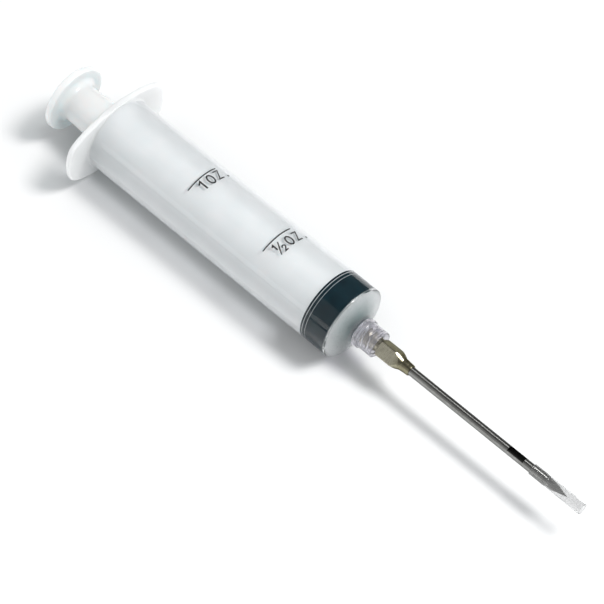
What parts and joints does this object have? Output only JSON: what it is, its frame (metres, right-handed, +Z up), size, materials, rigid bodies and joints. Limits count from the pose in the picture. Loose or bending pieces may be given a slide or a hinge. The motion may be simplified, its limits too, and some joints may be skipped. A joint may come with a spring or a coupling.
{
  "type": "meat injector",
  "caption": "Marinade syringe: milky barrel with oval finger flange, sliding plunger with rubber piston, luer lock, slotted steel needle and clear tip cap.",
  "frame": {"origin": "middle of the object's underside: halfway along it, on its axis seen from above, at the level of the finger flange's lowest edge", "axes": "+X along the syringe's axis towards the needle, +Y across the finger flange's wings, +Z up, square to the wings"},
  "size_m": [0.2236, 0.0436, 0.027],
  "materials": {
    "milky_plastic": "translucent milky polypropylene, satin gloss",
    "plunger_plastic": "translucent bluish white polypropylene, satin",
    "piston_rubber": "smooth, lightly oiled",
    "clear_plastic": "clear moulded, glossy",
    "cap_plastic": "clear extruded, glossy",
    "nickel_plate": "nickel-plated brass, satin turned",
    "needle_steel": "drawn tube, bright",
    "ground_steel": "ground and polished"
  },
  "bodies": {
    "barrel": {"barrel": "milky_plastic"},
    "piston": {"piston": "piston_rubber"},
    "plunger": {"plunger_rod": "plunger_plastic"},
    "collar": {"luer_lock_collar": "clear_plastic"},
    "needle": {"needle_hub": "nickel_plate", "needle_tube": "needle_steel", "needle_point": "ground_steel"},
    "cap": {"tip_cap": "cap_plastic"}
  },
  "joints": [
    {"name": "plunger_draw", "type": "slide", "parent": "barrel", "child": "piston", "axis": [-1, 0, 0], "range_m": [0, 0.08]},
    {"name": "plunger_spin", "type": "hinge", "parent": "piston", "child": "plunger", "pos_m": [0.0059, 0, 0.0135], "axis": [1, 0, 0], "continuous": true},
    {"name": "collar_turn", "type": "hinge", "parent": "barrel", "child": "collar", "pos_m": [0.0234, 0, 0.0135], "axis": [-1, 0, 0], "range_deg": [0, 270]},
    {"name": "needle_release", "type": "slide", "parent": "barrel", "child": "needle", "axis": [1, 0, 0], "range_m": [0, 0.00375]},
    {"name": "cap_pull", "type": "slide", "parent": "needle", "child": "cap", "axis": [1, 0, 0], "range_m": [0, 0.018]}
  ],
  "couplings": [
    {"joint": "collar_turn", "follows": "needle_release", "rad_per_m": 1256.6}
  ]
}
